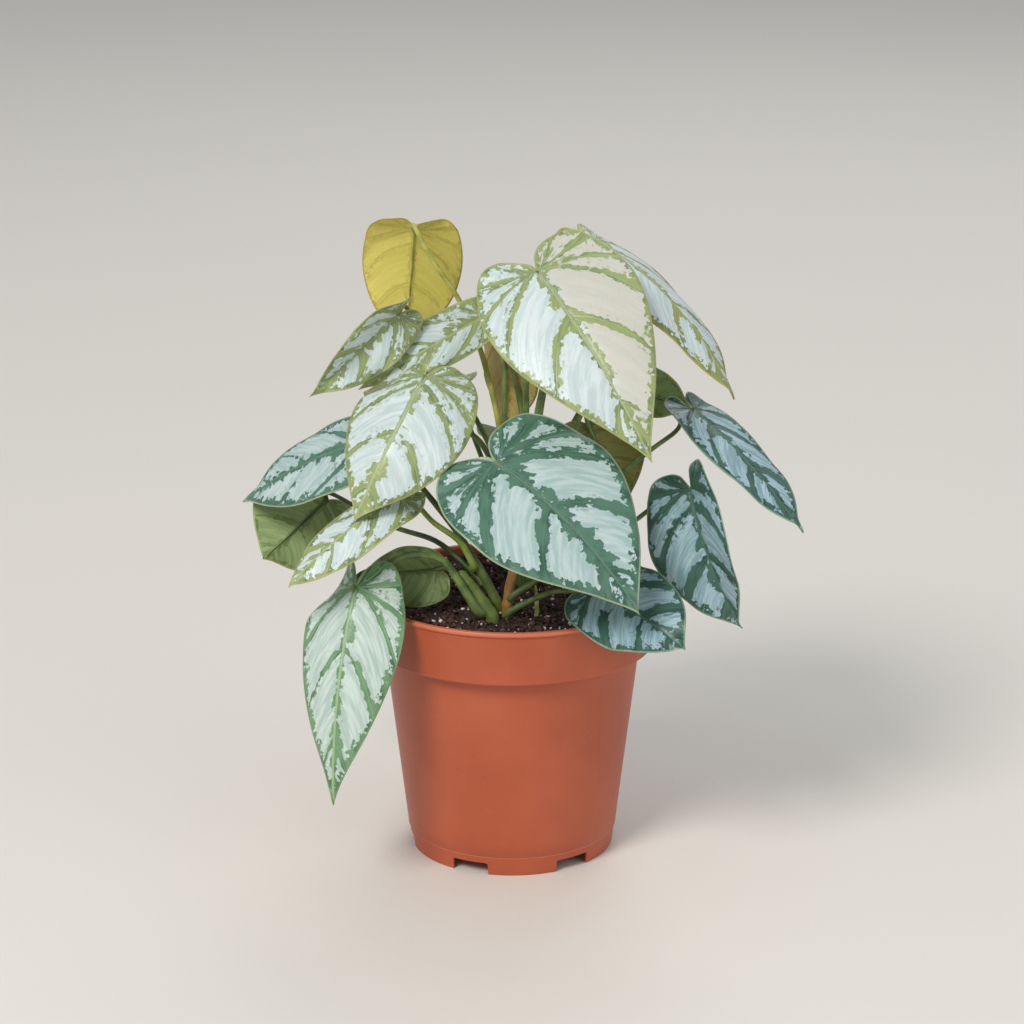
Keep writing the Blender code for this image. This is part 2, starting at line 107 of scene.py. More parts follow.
# Pot and soil
TURN_STEPS = 192
LIP = 0.8 * MM  # how far the lip stands out past the collar
WALL = 1.2 * MM
COLLAR_HEIGHT = 20.5 * MM
SHOULDER_RADIUS = 47.9 * MM
BASE_RADIUS = 38.4 * MM
FOOT_SEAM = 7.2 * MM  # height of the mould line round the foot
NOTCHES = 6
FIRST_NOTCH = 246  # degrees round the pot
NOTCH = (5 * MM, 14 * MM, 9.4 * MM)  # the cutter: depth, width and height, half of it underground
HOLES = 6
HOLE_RADIUS = 3.5 * MM
HOLE_CIRCLE = 25 * MM
SOIL_RADIUS = RIM_RADIUS - 2.5 * MM
SOIL_RINGS = 70
SOIL_TURNS = 180
SOIL_SKIRT = 12 * MM  # how far the soil's piece goes down at the wall

# Studio: name, place, size, power in watts, colour
LIGHTS = [
    ("key", (-1.0, -1.5, 1.7), 0.9, 39, (1.0, 0.97, 0.93)),
    ("fill", (1.6, -1.2, 0.9), 1.6, 7, (0.95, 0.98, 1.0)),
    ("back", (0.4, 1.5, 1.6), 1.2, 8, (1.0, 1.0, 1.0)),
]
CAMERA_FOCAL = 3000  # in pixels of the 1024-pixel frame
CAMERA_PITCH = 16.87
CAMERA_AIM = 0.1291  # the height on the pot's axis that the camera looks at
CAMERA_DISTANCE = 1.109


def srgb(red, green, blue):
    """A display colour, 0 to 255 a channel, as linear values."""
    shares = [channel / 255 for channel in (red, green, blue)]
    return tuple(c / 12.92 if c <= 0.04045 else ((c + 0.055) / 1.055) ** 2.4 for c in shares)


@dataclass
class Look:
    """The colours and pattern of one side of a blade. Bands and teeth are in mm."""

    silver: tuple
    shade: tuple
    green: tuple
    deep: tuple
    margin: tuple
    rib: tuple
    rib_band: float = 1.2  # how far the green reaches from the midrib
    vein_band: float = 0.7  # and from a side vein
    margin_band: float = 0.8  # and from the margin
    teeth: float = 9  # how far the saw-toothed edges of the green reach
    margin_teeth: float = 9
    flecks: float = 0.35  # how strong the green flecks in the silver are
    warm: tuple = ()  # the silver's colour in the right half, where it differs
    roughness: float = 0.42


SILVER = Look(
    silver=srgb(208, 220, 220), shade=srgb(186, 202, 200), green=srgb(146, 160, 104),
    deep=srgb(104, 124, 82), margin=srgb(164, 172, 108), rib=srgb(168, 182, 128),
    rib_band=1.4, vein_band=1.45, margin_band=1.9, teeth=16, flecks=0.85,
)
CREAM = replace(SILVER, warm=srgb(194, 191, 176), rib_band=1.7, vein_band=1.5)
GILDED = replace(SILVER, margin=srgb(164, 162, 74), green=srgb(146, 156, 84), margin_band=2.6)
TEAL = Look(
    silver=srgb(186, 204, 202), shade=srgb(158, 184, 180), green=srgb(82, 122, 102),
    deep=srgb(50, 88, 72), margin=srgb(154, 172, 138), rib=srgb(92, 128, 102),
    rib_band=3.2, vein_band=2.3, margin_band=3.0, teeth=19, flecks=0.85,
)
BLUE = Look(
    silver=srgb(162, 188, 198), shade=srgb(120, 154, 160), green=srgb(62, 100, 88),
    deep=srgb(38, 72, 58), margin=srgb(120, 152, 126), rib=srgb(74, 116, 92),
    rib_band=1.8, vein_band=2.2, margin_band=2.0, teeth=14, flecks=0.85,
)
MIST = replace(TEAL, rib_band=1.9, vein_band=1.4, margin_band=2.4)
SAGE = Look(
    silver=srgb(198, 214, 206), shade=srgb(170, 190, 180), green=srgb(112, 150, 110),
    deep=srgb(70, 112, 76), margin=srgb(130, 158, 112), rib=srgb(164, 190, 140),
    rib_band=1.2, vein_band=1.5, margin_band=2.0, teeth=14, flecks=0.75,
)
PALE_UNDER = Look(
    silver=srgb(186, 200, 150), shade=srgb(166, 186, 130), green=srgb(150, 172, 108),
    deep=srgb(124, 148, 86), margin=srgb(160, 172, 96), rib=srgb(192, 204, 150), roughness=0.55,
)
GREEN_UNDER = Look(
    silver=srgb(124, 148, 90), shade=srgb(106, 132, 74), green=srgb(94, 120, 62),
    deep=srgb(70, 96, 48), margin=srgb(146, 166, 96), rib=srgb(134, 160, 96), roughness=0.55,
)
FRESH_UNDER = replace(GREEN_UNDER, silver=srgb(148, 168, 114), shade=srgb(130, 152, 98),
                      green=srgb(114, 138, 82), deep=srgb(92, 116, 64))
YELLOW_UNDER = Look(
    silver=srgb(214, 202, 106), shade=srgb(206, 194, 92), green=srgb(198, 186, 84),
    deep=srgb(178, 164, 72), margin=srgb(176, 162, 64), rib=srgb(218, 208, 124), roughness=0.55,
)
OLIVE_UNDER = Look(
    silver=srgb(180, 160, 92), shade=srgb(166, 146, 82), green=srgb(150, 130, 68),
    deep=srgb(118, 104, 52), margin=srgb(136, 120, 60), rib=srgb(128, 100, 54), roughness=0.55,
)
MOSS_UNDER = replace(OLIVE_UNDER, silver=srgb(132, 128, 62), shade=srgb(118, 116, 54),
                     green=srgb(104, 106, 48), deep=srgb(84, 88, 40), rib=srgb(96, 92, 44))
DARK = Look(
    silver=srgb(82, 110, 66), shade=srgb(68, 96, 54), green=srgb(56, 84, 42),
    deep=srgb(42, 66, 32), margin=srgb(98, 118, 66), rib=srgb(88, 112, 60), rib_band=2.5,
)
PLAIN = (SILVER, PALE_UNDER, "leaf_silver")
LOOKS = {
    "yellow": (GILDED, YELLOW_UNDER, "leaf_yellow"),
    "top_centre": (CREAM, PALE_UNDER, "leaf_silver"),
    "top_right": (GILDED, PALE_UNDER, "leaf_silver"),
    "far_left": (MIST, GREEN_UNDER, "leaf_blue_green"),
    "hanging_left": (SAGE, GREEN_UNDER, "leaf_silver"),
    "front_centre": (TEAL, GREEN_UNDER, "leaf_blue_green"),
    "far_right": (BLUE, GREEN_UNDER, "leaf_blue_green"),
    "hanging_right": (BLUE, GREEN_UNDER, "leaf_blue_green"),
    "rim_right": (BLUE, GREEN_UNDER, "leaf_blue_green"),
    "back_low": (BLUE, GREEN_UNDER, "leaf_blue_green"),
    "left_underside": (DARK, FRESH_UNDER, "leaf_green"),
    "rim_left": (DARK, FRESH_UNDER, "leaf_green"),
    "dark_right": (DARK, GREEN_UNDER, "leaf_green"),
    "olive_centre": (SILVER, OLIVE_UNDER, "leaf_olive"),
    "olive_right": (SILVER, MOSS_UNDER, "leaf_olive"),
}


@dataclass
class Stem:
    """A short stem: its points, from its buried end up, and its radius at each end, in mm."""

    name: str
    points: list
    foot: float
    head: float


@dataclass
class Leaf:
    """A blade and its stalk. Lengths in mm, angles in degrees, pairs are the two halves.

    base is where the stalk joins the blade, and tip is the blade's point. roll turns the blade
    about the line between them, and droop is how far the midrib turns down along it. fold
    lifts a half off the plane at the midrib, cup bends it on toward its margin, and lobe bends
    it near the stalk only. belly moves the widest place toward the tip. The stalk starts on
    a stem, at a height above the soil and on a side of it, runs through via, and reaches the blade
    from the approach: how far behind it and below it, in mm."""

    name: str
    base: tuple
    tip: tuple
    width: float
    roll: float
    stem: str
    height: float
    side: float
    via: list
    droop: float = 30
    sweep: float = 0
    fold: tuple = (8, 8)
    cup: tuple = (-5, -5)
    lobe: tuple = (0, 0)
    belly: float = 0
    nod: float = 0
    stalk: float = 1.1
    approach: tuple = (6.5, 5)


def beyond_rim(angle, distance, height):
    """A place outside the pot: degrees round it, and mm out from the rim and up from the soil."""
    radius = RIM_RADIUS / MM + distance
    turn = math.radians(angle)
    return (radius * math.cos(turn), radius * math.sin(turn), height)


STEMS = [
    Stem("stem_left", [(-7, -31, -22), (-7, -31, 0), (-10, -30.5, 6), (-15, -29, 13), (-19.5, -28, 18)],
         2.8, 2.0),
    Stem("stem_middle",
         [(-4.5, -23.5, -22), (-4.5, -23.5, 0), (-6.5, -24, 7), (-11, -24, 16), (-15, -24, 23)],
         2.1, 1.6),
    Stem("stem_right", [(-2, -28, -22), (-2, -28, 0), (-1.5, -28, 8), (0, -27, 16), (2.5, -25.5, 24)],
         1.9, 1.7),
    Stem("stem_rear", [(4, 5, -22), (4, 5, 0), (4, 6, 12), (3, 7, 24), (2, 8, 36)],
         3.2, 2.4),
    Stem("young_shoot", [(9, -26, -12), (9, -26, 0), (9, -26, 6), (8.5, -25.5, 12)],
         1.3, 0.4),
]

LEAVES = [
    Leaf("yellow", (-36, 25, 133), (-40, 33, 87), 38, -26, "stem_rear", 30, 150,
         [(-5, 15, 62), (-12, 19, 90), (-20, 22, 108), (-29, 21, 122)],
         fold=(5, 12), cup=(5, 5), lobe=(0, -50), belly=0.05, nod=-20, stalk=1.2),
    Leaf("upper_left", (-41, 0, 107), (-73, -15, 80), 24, 75, "stem_rear", 18, 220,
         [(-3, -1, 45), (-9, -3, 60), (-18, 3, 76), (-28, 14, 91), (-36, 12, 102)],
         droop=15, fold=(50, 5), cup=(-10, -10), lobe=(70, 0)),
    Leaf("upper_left_rear", (-11, 12, 103), (-56, -5, 80), 20, 65, "stem_rear", 26, 195,
         [(-3, 7, 55), (-3, 10, 85)], fold=(-10, 10), cup=(0, 0)),
    Leaf("top_centre", (9, -10, 125), (49, -52, 66), 58, -33, "stem_rear", 34, 280,
         [(5, -2, 62), (5, -5, 98), (6, -8, 117)],
         droop=50, fold=(5, 8), cup=(-20, -20), lobe=(0, 10), belly=-0.09, stalk=1.4),
    Leaf("top_right", (30, 12, 132), (80, -15, 79), 36, -8, "stem_rear", 32, 0,
         [(9, 10, 65), (16, 13, 95), (24, 14, 122)],
         droop=45, fold=(5, -13), cup=(-20, -20), belly=0.05, stalk=1.3),
    Leaf("centre_left", (-31, -20, 89), (-56, -45, 42.5), 49, 40, "stem_rear", 12, 230,
         [(-2, -8, 40), (-10, -12, 60), (-17, -13, 68), (-26, -16, 82)],
         droop=55, fold=(-30, 5), cup=(-20, -20), lobe=(-60, 0), stalk=1.3),
    Leaf("far_left", (-53, -12, 63), (-101, 20, 30), 33, 60, "stem_middle", 19, 100,
         [(-20, -21, 31), (-35, -19, 50), (-46, -14, 60)],
         fold=(-18, 5), cup=(-10, -10), stalk=1.3),
    Leaf("lower_left", (-40, -35, 49), (-79, -55, 21), 23, 45, "stem_middle", 21, 260,
         [(-19.3, -27, 29.5), (-29, -30, 38)],
         sweep=10, fold=(-40, 8), cup=(0, 0), lobe=(-40, -60), belly=0.12, stalk=1.2),
    Leaf("left_underside", (-70, 22, 30), (-93, 5, 12), 46, -130, "stem_middle", 14, 150,
         [(-20, -19, 20.5), (-29, -13, 25.5), (-46, 4, 26)],
         fold=(10, 10), cup=(0, 0), approach=(4, 1.5)),
    Leaf("hanging_left", beyond_rim(217, 15, 17), beyond_rim(224, 34, -59), 41, 20,
         "stem_left", 6, 215,
         [(-22.5, -32, 21), (-27, -33, 25), (-32, -34, 26.5), (-38, -34, 26), (-44, -33.5, 23.5),
          (-50, -35, 21)],
         droop=35, sweep=12, fold=(-35, 3), cup=(-10, -10), lobe=(-95, -10), belly=-0.1, stalk=1.6),
    Leaf("rim_left", (-27, -23.5, 17.5), (-56, -21, 14.5), 27, -110, "stem_middle", 3, 150,
         [(-13, -22, 8), (-19, -22.5, 13)],
         droop=20, fold=(10, -50), cup=(0, 0), approach=(5, 0.5)),
    Leaf("front_centre", (-6, -39, 62.5), (44.5, -73, 17), 64, -22, "stem_right", 22, 250,
         [(2, -28, 40), (-1, -31, 52)],
         droop=40, fold=(-4, 10), cup=(-10, -10), lobe=(-10, 10), belly=-0.04, stalk=1.4),
    Leaf("olive_centre", (-4, 25, 96), (-3, 20, 53), 32, 120, "stem_rear", 35, 90,
         [(4, 13, 60), (0, 18, 82)],
         droop=20, fold=(10, 10), cup=(0, 0), approach=(4, 3)),
    Leaf("olive_right", (28, 0, 65), (42, -12, 39), 34, 130, "stem_rear", 18, 300,
         [(12, -4, 36), (20, -6, 56)], droop=20, fold=(10, 10), cup=(0, 0)),
    Leaf("dark_right", (33, 15, 77), (68, 8, 68), 28, 65, "stem_rear", 24, 20,
         [(12, 12, 45), (24, 14, 65)], droop=20, fold=(10, 10), cup=(0, 0)),
    Leaf("far_right", (66, -8, 73.5), (103, -48, 39), 26, -12, "stem_rear", 6, 320,
         [(22, -6, 32), (37, -12, 48), (50.5, -14, 60), (60, -12, 67)],
         droop=20, fold=(12, -12), cup=(-10, -10), belly=0.07),
    Leaf("hanging_right", (64, -30, 50), (82, -48, 3), 44, -82, "stem_right", 10, 330,
         [(18, -29, 21), (32, -23, 27), (44, -16, 33), (53, -15, 40), (59, -18, 45)],
         fold=(8, 32), cup=(0, 0), belly=0.04, approach=(1, 5)),
    Leaf("rim_right", (30, -38, 14), (61, -66, 1.5), 36, -32, "stem_right", 4, 310,
         [(12, -33, 11), (21, -35, 13)], fold=(5, 5), cup=(-10, -10), belly=0.09),
    Leaf("back_left", (-28, 30, 73), (-50, 69, 49), 40, 0, "stem_rear", 10, 120,
         [(-8, 12, 40), (-15, 17, 58), (-21, 23, 70)], droop=40),
    Leaf("back_low", (5, 30, 53), (20, 76, 8), 46, 0, "stem_rear", 10, 80,
         [(5, 16, 34), (5, 22, 47)], droop=40),
    Leaf("back_right", (18, 32, 95), (32, 76, 60), 44, 0, "stem_rear", 28, 50,
         [(9, 16, 55), (14, 24, 83)], droop=45),
]


# Small helpers


def unit(vector):
    return vector / np.linalg.norm(vector)


def spline(points, places):
    """A smooth line through the points, read at places from 0 to 1."""
    points = np.asarray(points, float)
    spans = len(points) - 1
    place = np.clip(places, 0, 1) * spans
    first = np.minimum(place.astype(int), spans - 1)
    t = (place - first)[..., None]
    before = points[np.maximum(first - 1, 0)]
    start = points[first]
    end = points[first + 1]
    after = points[np.minimum(first + 2, spans)]
    cubic = 3 * (start - end) + after - before
    square = 2 * before - 5 * start + 4 * end - after
    return start + 0.5 * t * (end - before + t * (square + t * cubic))


def world(points):
    """Plant positions in mm as places in the row frame."""
    return np.asarray(points, float) * MM + np.array([0, 0, SOIL_LEVEL])


def mesh_object(name, points, faces, materials):
    mesh = bpy.data.meshes.new(name)
    mesh.from_pydata([tuple(point) for point in points], [], faces)
    mesh.update()
    for material in materials:
        mesh.materials.append(material)
    thing = bpy.data.objects.new(name, mesh)
    bpy.context.scene.collection.objects.link(thing)
    return thing


def attribute(mesh, name, values):
    """Three numbers at each vertex, for the materials."""
    made = mesh.attributes.new(name, "FLOAT_VECTOR", "POINT")
    made.data.foreach_set("vector", np.asarray(values, np.float32).ravel())


def keep(thing, slot, *nodes):
    """Rides on the one body and stands for CAD nodes, which it hides. Its slot is not used."""
    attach(thing, "root")
    if nodes:
        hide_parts(*nodes)
    return thing


class Shader:
    """The nodes of one material."""

    def __init__(self, name):
        self.material = bpy.data.materials.new(name)
        self.material.use_nodes = True
        self.tree = self.material.node_tree
        self.surface = self.tree.nodes["Principled BSDF"].inputs

    def feed(self, socket, value):
        if isinstance(value, bpy.types.NodeSocket):
            self.tree.links.new(value, socket)
        elif socket.type == "RGBA":
            socket.default_value = (*value, 1)
        else:
            socket.default_value = value

    def node(self, kind, inputs, output=0, **settings):
        made = self.tree.nodes.new(kind)
        for key, value in settings.items():
            setattr(made, key, value)
        for key, value in inputs.items():
            self.feed(made.inputs[key], value)
        return made.outputs[output]

    def math(self, operation, *values):
        return self.node("ShaderNodeMath", dict(enumerate(values)), operation=operation)

    def ease(self, value, low, high):
        inputs = {"Value": value, "From Min": low, "From Max": high}
        return self.node("ShaderNodeMapRange", inputs, interpolation_type="SMOOTHSTEP")

    def mix(self, share, first, second):
        return self.node("ShaderNodeMix", {0: share, 6: first, 7: second}, 2, data_type="RGBA")

    def numbers(self, name):
        made = self.tree.nodes.new("ShaderNodeAttribute")
        made.attribute_name = name
        split = self.tree.nodes.new("ShaderNodeSeparateXYZ")
        self.tree.links.new(made.outputs["Vector"], split.inputs[0])
        return split.outputs[0], split.outputs[1], split.outputs[2]

    def place(self):
        return self.tree.nodes.new("ShaderNodeTexCoord").outputs["Object"]

    def noise(self, point, scale, detail=3.0, roughness=0.5):
        """Noise at a point, or at three scaled numbers."""
        if isinstance(point, tuple):
            scaled = [self.math("MULTIPLY", number, share) for number, share in point]
            point = self.node("ShaderNodeCombineXYZ", dict(enumerate(scaled)))
        inputs = {"Vector": point, "Scale": scale, "Detail": detail, "Roughness": roughness}
        return self.node("ShaderNodeTexNoise", inputs)

    def bump(self, height, distance, strength=1.0):
        inputs = {"Height": height, "Distance": distance, "Strength": strength}
        self.feed(self.surface["Normal"], self.node("ShaderNodeBump", inputs))

    def finish(self, colour, roughness, **values):
        self.feed(self.surface["Base Color"], colour)
        self.feed(self.surface["Roughness"], roughness)
        for key, value in values.items():
            self.feed(self.surface[key.replace("_", " ")], value)
        return self.material


# Materials


def leaf_material(name, look):
    """Green along the midrib, the side veins and the margin, with saw-toothed edges, and silver
    between them. The teeth and streaks run along the side veins."""
    shader = Shader(name)
    x, y, seed = shader.numbers("flat")
    phase, along, to_vein = shader.numbers("vein")
    to_margin, to_rib, side = shader.numbers("edge")
    half = shader.math("MULTIPLY_ADD", side, 7.3, seed)
    streak = shader.noise(((phase, 4), (along, 0.07), (half, 1)), 1, 4)
    fine = shader.noise(((phase, 13), (along, 0.08), (half, 3)), 1, 3)
    blotch = shader.noise(((x, 0.07), (y, 0.07), (seed, 1)), 1, 2)
    speck = shader.noise(((x, 0.75), (y, 0.75), (seed, 1)), 1, 3)

    blob = shader.noise(((x, 0.42), (y, 0.42), (half, 2)), 1, 3)
    jag = shader.math("MULTIPLY_ADD", streak, 0.5, shader.math("MULTIPLY", fine, 0.2))
    jag = shader.math("MULTIPLY_ADD", blob, 0.3, jag)
    jag = shader.math("SUBTRACT", jag, 0.5)
    vein_jag = shader.math("MULTIPLY", jag, look.teeth)
    slow = shader.math("MULTIPLY_ADD", blotch, 1.6, 0.2)

    rib = shader.math("SUBTRACT", look.rib_band, to_rib)
    rib = shader.math("MULTIPLY_ADD", jag, look.teeth * 1.5, rib)
    vein = shader.math("MULTIPLY_ADD", slow, look.vein_band, vein_jag)
    vein = shader.math("SUBTRACT", vein, to_vein)
    rough_edge = shader.math("MULTIPLY_ADD", blob, 0.6, shader.math("MULTIPLY", speck, 0.6))
    rough_edge = shader.math("SUBTRACT", shader.math("ADD", rough_edge, jag), 0.6)
    rim = shader.math("MULTIPLY_ADD", rough_edge, look.margin_teeth, look.margin_band)
    rim = shader.math("SUBTRACT", rim, to_margin)
    green = shader.math("MAXIMUM", shader.math("MAXIMUM", rib, vein), rim)
    green = shader.ease(green, -0.22, 0.22)
    fleck = shader.math("MULTIPLY_ADD", fine, 0.45, shader.math("MULTIPLY", speck, 0.25))
    fleck = shader.math("MULTIPLY_ADD", blob, 0.3, fleck)
    fleck = shader.math("MULTIPLY", shader.ease(fleck, 0.52, 0.6), look.flecks)
    fleck = shader.math("MULTIPLY", fleck, shader.ease(to_vein, 5.5, 2))
    green = shader.math("MAXIMUM", green, fleck)

    pale = shader.mix(shader.ease(fine, 0.36, 0.64), look.shade, look.silver)
    if look.warm:
        warmth = shader.ease(shader.math("MULTIPLY_ADD", blotch, 8, y), 0, 9)
        pale = shader.mix(shader.math("MULTIPLY", warmth, 0.8), pale, look.warm)
    dark = shader.mix(shader.ease(streak, 0.36, 0.62), look.deep, look.green)
    colour = shader.mix(green, pale, dark)
    line = shader.ease(to_vein, 0.28, 0.08)
    colour = shader.mix(shader.math("MULTIPLY", line, 0.45), colour, look.rib)
    line = shader.ease(to_rib, 0.6, 0.25)
    colour = shader.mix(shader.math("MULTIPLY", line, 0.8), colour, look.rib)
    colour = shader.mix(shader.ease(to_margin, 0.75, 0.3), colour, look.margin)

    height = shader.math("MULTIPLY_ADD", fine, 0.8, speck)
    height = shader.math("MULTIPLY_ADD", shader.ease(to_vein, 0, 0.7), 0.5, height)
    shader.bump(height, 0.12 * MM)
    roughness = shader.math("MULTIPLY_ADD", speck, 0.16, look.roughness - 0.08)
    roughness = shader.math("MULTIPLY_ADD", green, -0.06, roughness)
    return shader.finish(colour, roughness, Subsurface_Weight=0.12, Subsurface_Scale=MM)


def stalk_material(name, green, pale, brown):
    """Fine lines along a stalk, paler in patches and browner at its foot."""
    shader = Shader(name)
    along, turn, seed = shader.numbers("grain")
    lines = shader.noise(((along, 0.12), (turn, 2.2), (seed, 1)), 1, 4)
    patch = shader.noise(((along, 0.16), (turn, 0.3), (seed, 2)), 1, 2)
    colour = shader.mix(shader.ease(patch, 0.35, 0.65), green, pale)
    foot = shader.math("MULTIPLY", shader.ease(along, 9, 0), 0.55)
    colour = shader.mix(foot, colour, brown)
    colour = shader.mix(shader.ease(lines, 0.5, 0.75), colour, green)
    shader.bump(lines, 0.15 * MM, 0.8)
    roughness = shader.math("MULTIPLY_ADD", lines, 0.2, 0.32)
    return shader.finish(colour, roughness, Subsurface_Weight=0.1, Subsurface_Scale=MM)


def pot_material():
    """Moulded terracotta-coloured plastic: a satin skin with faint flow marks, scuffs and dust, and painted
    highlights on the lip bead and along the mould line round the foot.
    """
    shader = Shader("pot_plastic")
    place = shader.place()
    cloud = shader.noise(place, 28, 4)
    grain = shader.noise(place, 1500, 2)
    scuff = shader.noise(place, 260, 5, 0.7)
    colour = shader.mix(shader.ease(cloud, 0.3, 0.7), srgb(170, 78, 46), srgb(182, 88, 56))
    worn = shader.math("MULTIPLY", shader.ease(scuff, 0.6, 0.8), 0.3)
    colour = shader.mix(worn, colour, srgb(212, 128, 98))
    height = shader.node("ShaderNodeSeparateXYZ", {0: place}, 2)
    # Painted highlight: the top of the lip bead is painted lighter, where light catches it.
    lip = shader.ease(height, POT_HEIGHT - 1.6 * MM, POT_HEIGHT - 0.8 * MM)
    colour = shader.mix(shader.math("MULTIPLY", lip, 0.6), colour, srgb(222, 126, 92))
    # Painted highlight: a lighter line along the mould line round the foot, where light catches its step.
    seam_highlight = shader.math("ABSOLUTE", shader.math("SUBTRACT", height, FOOT_SEAM))
    seam_highlight = shader.ease(seam_highlight, 0.35 * MM, 0.15 * MM)
    colour = shader.mix(shader.math("MULTIPLY", seam_highlight, 0.45), colour, srgb(222, 138, 108))
    shader.bump(shader.math("MULTIPLY_ADD", grain, 0.5, scuff), 0.05 * MM, 0.7)
    roughness = shader.math("MULTIPLY_ADD", cloud, 0.14, 0.36)
    return shader.finish(colour, roughness)


def soil_material(name, dark, light, roughness):
    shader = Shader(name)
    place = shader.place()
    clumps = shader.noise(place, 420, 5, 0.65)
    shade = shader.noise(place, 130, 2)
    tone = shader.math("MULTIPLY_ADD", clumps, 0.6, shader.math("MULTIPLY", shade, 0.4))
    colour = shader.mix(shader.ease(tone, 0.36, 0.64), dark, light)
    shader.bump(clumps, 0.6 * MM)
    return shader.finish(colour, shader.math("MULTIPLY_ADD", clumps, 0.1, roughness - 0.1))


# The blade of a leaf


def flat_blade(along, across, belly):
    """Points of a flat blade, along it in blade lengths and across it in half widths.

    A line of equal along is a side vein, from the midrib at across 0 to the margin at 1 or -1."""
    edge = spline(HALF_OUTLINE, along)
    edge_x = edge[:, 0] + belly * np.sin(np.pi * np.clip(edge[:, 0], 0, 1))
    out = np.abs(across)
    root = np.clip((edge_x - VEIN_REACH) / (1 - VEIN_REACH), 0, 1) ** VEIN_CROWDING
    bend = root + VEIN_BEND * (edge_x - root)
    x = (1 - out) ** 2 * root + 2 * out * (1 - out) * bend + out**2 * edge_x
    y = edge[:, 1] * (2 * out * (1 - out) * VEIN_SPREAD + out**2)
    return x, np.sign(across) * y


def midrib(leaf):
    """Points, directions, sides and normals along a blade's midrib, and its length, in mm."""
    share = np.linspace(0, 1, MIDRIB_STEPS + 1)
    down = math.radians(leaf.droop) * share
    aside = math.radians(leaf.sweep) * share
    ahead = np.stack(
        [np.cos(down) * np.cos(aside), np.sin(aside), -np.sin(down) * np.cos(aside)], -1
    )
    level = np.stack(
        [-np.sin(aside) * np.cos(down), np.cos(aside), np.sin(aside) * np.sin(down)], -1
    )
    steps = (ahead[1:] + ahead[:-1]) / 2 / MIDRIB_STEPS
    run = np.concatenate([np.zeros((1, 3)), np.cumsum(steps, axis=0)])

    chord = np.subtract(leaf.tip, leaf.base)
    forward = unit(chord)
    upright = unit(np.array([0, 0, 1]) - forward * forward[2])
    roll = math.radians(leaf.roll)
    top = upright * math.cos(roll) + np.cross(upright, forward) * math.sin(roll)
    world_axes = np.stack([forward, np.cross(top, forward), top], 1)

    run_forward = unit(run[-1])
    run_side = unit(np.array([0, 1, 0]) - run_forward * run_forward[1])
    local = np.stack([run_forward, run_side, np.cross(run_forward, run_side)], 0)
    turn = (world_axes @ local).T
    length = np.linalg.norm(chord) / np.linalg.norm(run[-1])
    points = np.array(leaf.base) + run @ turn * length
    ahead = ahead @ turn
    side = level @ turn
    return points, ahead, side, np.cross(ahead, side), length


def bent_blade(leaf, x, y, rise):
    """Where points of the flat blade lie once the blade is bent, raised off it by rise, in mm."""
    points, ahead, side, normal, length = midrib(leaf)
    share = np.linspace(0, 1, MIDRIB_STEPS + 1)

    def at(values):
        return np.stack([np.interp(x, share, values[:, axis]) for axis in range(3)], -1)

    nod = math.radians(leaf.nod)
    behind = np.minimum(x, 0)[:, None] * length
    place = at(points) + behind * (at(ahead) * math.cos(nod) - at(normal) * math.sin(nod))

    out = np.abs(y)
    near = np.clip((LOBE_START - x) / LOBE_RUN, 0, 1)
    near = near * near * (3 - 2 * near)
    left = y < 0
    fold = np.radians(np.where(left, *leaf.fold))
    curl = np.radians(np.where(left, *leaf.cup) + near * np.where(left, *leaf.lobe))
    curl = np.where(np.abs(curl) < LEAST_CURL, LEAST_CURL, curl)
    half = leaf.width / 2
    lateral = half * (np.sin(fold + curl * out) - np.sin(fold)) / curl
    lift = half * (np.cos(fold) - np.cos(fold + curl * out)) / curl
    return place + at(side) * (np.sign(y) * lateral)[:, None] + at(normal) * (lift + rise)[:, None]


def nearest(points, line):
    """How far each point is from the nearest stretch of a line, in the line's units."""
    starts = line[:-1]
    runs = line[1:] - starts
    lengths = np.maximum((runs**2).sum(-1), 1e-9)
    offsets = points[:, None] - starts
    shares = np.clip((offsets * runs).sum(-1) / lengths, 0, 1)
    gaps = offsets - shares[..., None] * runs
    return np.sqrt((gaps**2).sum(-1)).min(1)


